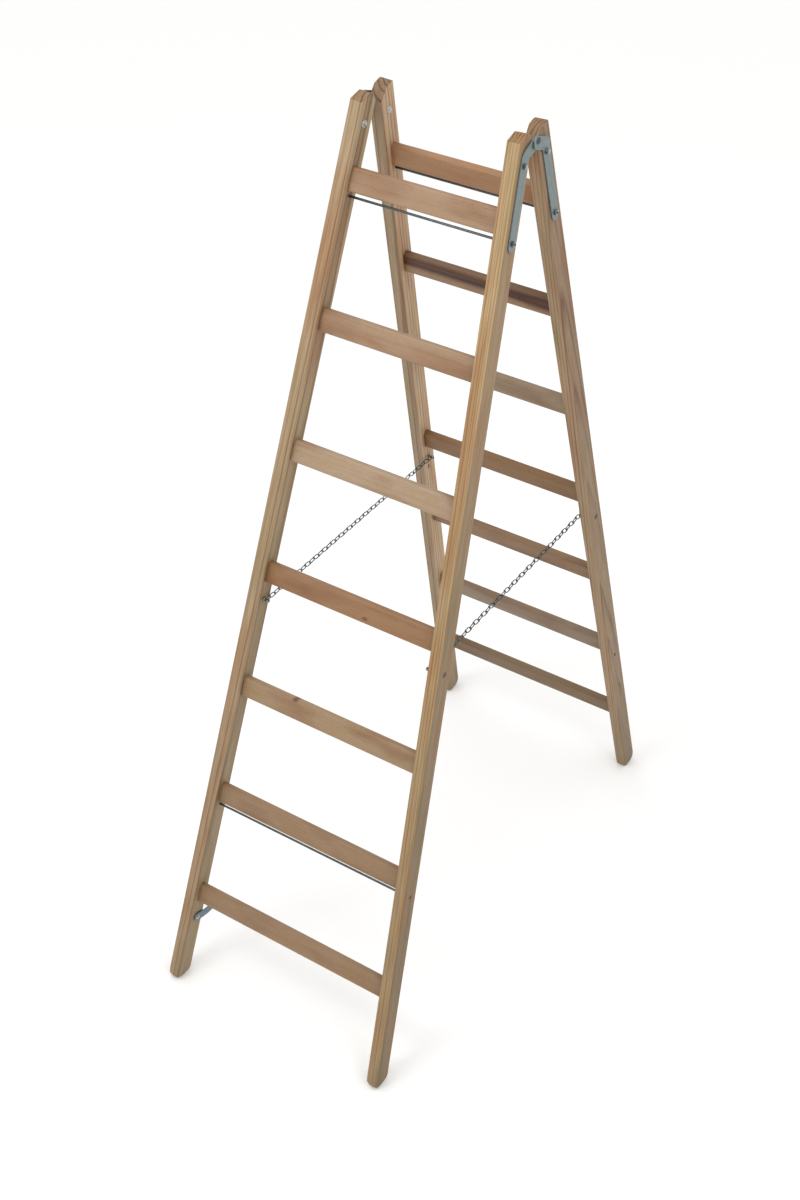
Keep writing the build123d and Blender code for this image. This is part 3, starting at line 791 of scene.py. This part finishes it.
for section, tones in RUNG_TONES.items():
    for number, tone in enumerate(tones, start=1):
        node = f"{section}_rung_{number}"
        turn = section_turn(section) @ ALONG_RUNG
        cut_from = Vector((0, 0, RUNG_STEP * MM * (number if section == "front" else -number)))
        axes = Matrix.Translation(node_middle(node) + turn.to_3x3() @ cut_from) @ turn
        show(f"{node}_bar", eased_mesh(node, RUNG_EASE), axes, RUNG_WOOD[tone], node)
print(sum(len(tones) for tones in RUNG_TONES.values()), "rungs")

# %% [markdown]
# ## Straps, washers and hook
# These are cut and bent from sheet, and their solids have every bend already. Drawing them again
# would add nothing, so they are copied too. A fine bevel on their edges catches the light: a real
# edge is never perfectly sharp, and without that thin bright line sheet steel looks like paper.

# %% Steel cut from sheet
STEEL_EASE = 0.5 * MM

for section in ("front", "rear"):
    for side in ("left", "right"):
        node = f"{section}_{side}_hinge_strap"
        axes = Matrix.Translation(node_middle(node)) @ stile_turn(section, side)
        show(f"{node}_plate", eased_mesh(node, STEEL_EASE), axes, zinc_sheet, node)
    node = f"{section}_chain_washers"
    axes = Matrix.Translation(node_middle(node)) @ section_turn(section)
    show(f"{node}_rings", eased_mesh(node, STEEL_EASE), axes, zinc_painted_reflections, node)
for node, metal in (("transport_hook", zinc_hook), ("hook_washer", zinc_painted_reflections)):
    axes = Matrix.Translation(node_middle(node)) @ section_turn("front")
    show(f"{node}_plate", eased_mesh(node, STEEL_EASE), axes, metal, node)
print("straps, washers and hook")

# %% [markdown]
# ## Turned steel, measuring
# Bolts, rivets and rods are round about an axis. Their solids are plain, with flat cones for heads,
# so they are turned again, like work on a lathe. Their sizes could be typed in, but then they would
# no longer follow the solids. So we measure: sorted along the axis, the corners of a round solid lie
# on a few levels, each with a least and a greatest radius. Where these two differ, a head sits on a
# shank.

# %% Measure a round solid
SAME_LEVEL = 0.02 * MM
HEAD_STEP = 0.5 * MM        # a greater step than this between two radii is the seat of a head


def islands(node):
    """The corners of each separate solid of a node, from left to right."""
    work = welded(node)
    left = set(work.verts)
    found = []
    while left:
        todo = [left.pop()]
        island = []
        while todo:
            vertex = todo.pop()
            island.append(vertex.co.copy())
            others = {edge.other_vert(vertex) for edge in vertex.link_edges} & left
            left -= others
            todo.extend(others)
        found.append(island)
    work.free()
    return sorted(found, key=lambda island: min(corner.x for corner in island))


def measure_round(corners, axis):
    """The middle of a round solid, and its levels as (level, least radius, greatest radius)."""
    middle = sum(corners, Vector()) / len(corners)
    rows = sorted(((corner - middle).dot(axis), (corner - middle).cross(axis).length) for corner in corners)
    levels = []
    for along, radius in rows:
        if levels and along - levels[-1][0] < SAME_LEVEL:
            level, least, greatest = levels[-1]
            levels[-1] = (level, min(least, radius), max(greatest, radius))
        else:
            levels.append((along, radius, radius))
    return middle, levels


def seats(levels):
    """The levels where a head sits on a shank: the radius makes a step there."""
    return [level for level in levels if level[2] - level[1] > HEAD_STEP]


print(len(islands("front_hinge_bolts")), "bolts measured")

# %% [markdown]
# ## Turned steel, the lathe
# A screw modifier can carry an outline round an axis, but all that it makes is round, and a nut has six
# sides. Our lathe takes rows instead: each is a level along the axis with one radius, or with a radius
# for every step round it. A radius of nothing is a single point on the axis, which closes the end.

# %% The lathe
STEPS_ROUND = 36


def carry_round(work, middle, axis, across, rows, closed=False):
    """Carry an outline round an axis. A row is a level and a radius, or a radius for each step."""
    beside = axis.cross(across)
    circles = []
    for level, radius in rows:
        radii = radius if isinstance(radius, list) else [radius] * (STEPS_ROUND if radius else 1)
        circle = []
        for step, out in enumerate(radii):
            turn = 2 * pi * step / STEPS_ROUND
            outwards = cos(turn) * across + sin(turn) * beside
            circle.append(work.verts.new(middle + level * axis + out * outwards))
        circles.append(circle)
    following = circles[1:] + circles[:1] if closed else circles[1:]
    for first, second in zip(circles, following):
        for step in range(STEPS_ROUND):
            after = step + 1
            corners = [circle[place % len(circle)] for circle, place in
                       ((first, step), (second, step), (second, after), (first, after))]
            work.faces.new(list(dict.fromkeys(corners)))


print(STEPS_ROUND, "steps round")

# %% [markdown]
# ## Turned steel, outlines
# A coach bolt has a domed head, a rivet a dome on one side and a flat head on the other, and a lower
# rod is hammered into a dome at both ends. Ends that carry nuts get a thread. A real thread is a
# spiral, but at this size nobody sees it climb, so each turn is a ridge of its own.

# %% Outlines for the lathe
DOME_STEPS = 7
THREAD_PITCH = 1.0 * MM
THREAD_DEPTH = 0.35 * MM
THREAD_LENGTH = 9 * MM
FIRST_CREST = 0.6           # of the pitch, from the end of the rod
RIVET_EDGE = 0.8 * MM


def dome(radius, seat, top):
    """A domed head from its edge on the seat to its top on the axis."""
    turns = [pi / 2 * step / DOME_STEPS for step in range(DOME_STEPS)]
    return [(seat + (top - seat) * sin(turn), radius * cos(turn)) for turn in turns] + [(top, 0)]


def thread(radius, end, inwards):
    """The end of a rod, from the axis out and then along its ridges; inwards is 1 or -1."""
    rows = [(end, 0), (end, radius - 2 * THREAD_DEPTH)]
    for ridge in range(int(THREAD_LENGTH / THREAD_PITCH)):
        crest = end + inwards * (ridge + FIRST_CREST) * THREAD_PITCH
        rows += [(crest, radius), (crest + inwards * THREAD_PITCH / 2, radius - THREAD_DEPTH)]
    return rows + [(end + inwards * (THREAD_LENGTH + THREAD_PITCH), radius)]


def bolt_outline(levels):
    """A shank with a thread at one end and a domed head at the other."""
    seat, shank, head = seats(levels)[0]
    end, top = sorted((levels[0], levels[-1]), key=lambda level: level[2] - shank)
    inwards = 1 if end[0] < seat else -1
    return thread(shank, end[0], inwards) + [(seat, shank)] + dome(head, seat, top[0])


def rod_outline(levels):
    """A rod with both ends peened to domes, or with a thread at each end."""
    low, high = levels[0][0], levels[-1][0]
    if not seats(levels):
        radius = levels[0][2]
        return thread(radius, low, 1) + thread(radius, high, -1)[::-1]
    first, second = seats(levels)
    shank = [(first[0], first[1]), (second[0], second[1])]
    return dome(first[2], first[0], low)[::-1] + shank + dome(second[2], second[0], high)


def rivet_outline(levels):
    """A flat head, a shank through both straps, and a domed head."""
    inner, outer = sorted(seats(levels), key=lambda level: level[2])
    face, top = levels[0][0], levels[-1][0]
    if inner[0] > outer[0]:
        face, top = top, face
    edge = RIVET_EDGE if inner[0] > face else -RIVET_EDGE
    flat_head = [(face, 0), (face, inner[2] - RIVET_EDGE), (face + edge, inner[2]), (inner[0], inner[2])]
    return flat_head + [(inner[0], inner[1]), (outer[0], outer[1])] + dome(outer[2], outer[0], top)


print("a dome has", len(dome(1, 0, 1)), "rows")

# %% [markdown]
# ## Turned steel, nuts
# A nut is a hexagon whose corners are turned off at both ends, which gives the curved edges that every
# nut has. It could be cut with a cone, but the lathe can do it too, with a radius for each step: the
# hexagon's own, or the radius of the turning tool where that is less.

# %% Nuts
NUT_FACE = 0.97             # of the flats' distance, the round face at each end of a nut
NUT_CHAMFER = radians(30)
NUT_CHAMFER_ROWS = 3
COUNTERSINK = 0.4 * MM


def nut_rows(levels):
    """The rows of a nut: its bore, its round faces, and the hexagon between them."""
    low, bore, corner = levels[0]
    high = levels[-1][0]
    flat = corner * cos(pi / 6)
    turns = [2 * pi * step / STEPS_ROUND for step in range(STEPS_ROUND)]
    hexagon = [flat / cos(turn % (pi / 3) - pi / 6) for turn in turns]
    depth = (corner - NUT_FACE * flat) * tan(NUT_CHAMFER)
    rows = []
    for part in range(NUT_CHAMFER_ROWS + 1):
        share = part / NUT_CHAMFER_ROWS
        limit = NUT_FACE * flat + share * (corner - NUT_FACE * flat)
        rows.append((share * depth, [min(out, limit) for out in hexagon]))
    lower = [(low + COUNTERSINK, bore), (low, bore + COUNTERSINK)]
    lower += [(low + rise, radii) for rise, radii in rows]
    upper = [(high - rise, radii) for rise, radii in reversed(rows)]
    return lower + upper + [(high, bore + COUNTERSINK), (high - COUNTERSINK, bore)]


print("nuts have", 2 * (NUT_CHAMFER_ROWS + 1), "rows of hexagon")

# %% [markdown]
# ## Turned steel, made
# Bolts go square through the splayed stiles, so their axes slant with the stile. Rods, rivets and the
# nuts on the rods lie level, from one side of the ladder to the other. Each node is turned again as
# one piece, because its bolts share one finish.

# %% Bolts, rods, rivets and nuts


def turn_node(node, section, outline, slanted, metal, closed=False):
    """Turn every round solid of a node again, and show them in its place."""
    work = bmesh.new()
    for corners in islands(node):
        side = "right" if corners[0].x > 0 else "left"
        axis = Vector((1, 0, 0))
        if slanted:
            axis = stile_turn(section, side).to_3x3() @ axis
        middle, levels = measure_round(corners, axis)
        corner = max(corners, key=lambda point: (point - middle).cross(axis).length)
        across = (corner - middle) - (corner - middle).dot(axis) * axis
        carry_round(work, middle, axis, across.normalized(), outline(levels), closed)
    axes = Matrix.Translation(node_middle(node)) @ section_turn(section)
    piece = show(f"{node}_steel", mesh_from(work, node), axes, metal, node)
    print(piece.name, len(piece.data.polygons), "faces")


for section in ("front", "rear"):
    turn_node(f"{section}_hinge_bolts", section, bolt_outline, True, zinc_head)
    turn_node(f"{section}_chain_bolts", section, bolt_outline, True, zinc_stain)
    turn_node(f"{section}_hinge_nuts", section, nut_rows, True, zinc_painted_reflections, closed=True)
    turn_node(f"{section}_chain_nuts", section, nut_rows, True, zinc_painted_reflections, closed=True)
    turn_node(f"{section}_tie_rod_nuts", section, nut_rows, False, zinc_painted_reflections, closed=True)
    turn_node(f"{section}_upper_tie_rod", section, rod_outline, False, zinc_wire)
    turn_node(f"{section}_lower_tie_rod", section, rod_outline, False, zinc_peened)
# the rivets take the dark rod finish: its dark grey is painted dark reflection on their domes
turn_node("hinge_rivets", "front", rivet_outline, False, zinc_wire)
turn_node("hook_screw", "front", bolt_outline, True, zinc_painted_reflections)
turn_node("catch_screw", "rear", bolt_outline, True, zinc_painted_reflections)

# %% [markdown]
# ## Chains
# A chain link is a bent round wire. The solids have it plainly, as a flat ring with cut corners. A
# curve with a round bevel could draw it, but eighty-two curves would then have to be turned into
# meshes and joined, so we carry a circle round a path of two straights and two half circles ourselves.
# Where each link lies, and whether it stands or lies flat, is read from the islands of the solid chain.

# %% Chain links
BEND_STEPS = 8
WIRE_SIDES = 10


def add_link(work, place, size):
    """Add a round-wire link along y, as large as a box, to a mesh in the making."""
    wire = min(size.x, size.z)
    bend = (max(size.x, size.z) - wire) / 2
    straight = (size.y - wire) / 2 - bend
    circles = []
    for step in range(2 * (BEND_STEPS + 1)):
        angle = pi * (step - (step > BEND_STEPS)) / BEND_STEPS
        end = straight if step <= BEND_STEPS else -straight
        circle = []
        for side in range(WIRE_SIDES):
            turn = 2 * pi * side / WIRE_SIDES
            out = bend + wire / 2 * cos(turn)
            across, along, up = out * cos(angle), end + out * sin(angle), wire / 2 * sin(turn)
            x, z = (up, across) if size.z > size.x else (across, up)
            circle.append(work.verts.new(place + Vector((x, along, z))))
        circles.append(circle)
    for first, second in zip(circles, circles[1:] + circles[:1]):
        for side in range(WIRE_SIDES):
            after = (side + 1) % WIRE_SIDES
            work.faces.new((first[side], second[side], second[after], first[after]))


for side in ("left", "right"):
    for half_name in ("front_half", "rear_half"):
        node = f"{side}_chain_{half_name}"
        work = bmesh.new()
        for corners in islands(node):
            low = Vector([min(corner[i] for corner in corners) for i in range(3)])
            high = Vector([max(corner[i] for corner in corners) for i in range(3)])
            add_link(work, (low + high) / 2, high - low)
        axes = Matrix.Translation(node_middle(node))
        chain = show(f"{node}_links", mesh_from(work, node), axes, zinc_chain, node)
        print(chain.name, len(chain.data.polygons), "faces")
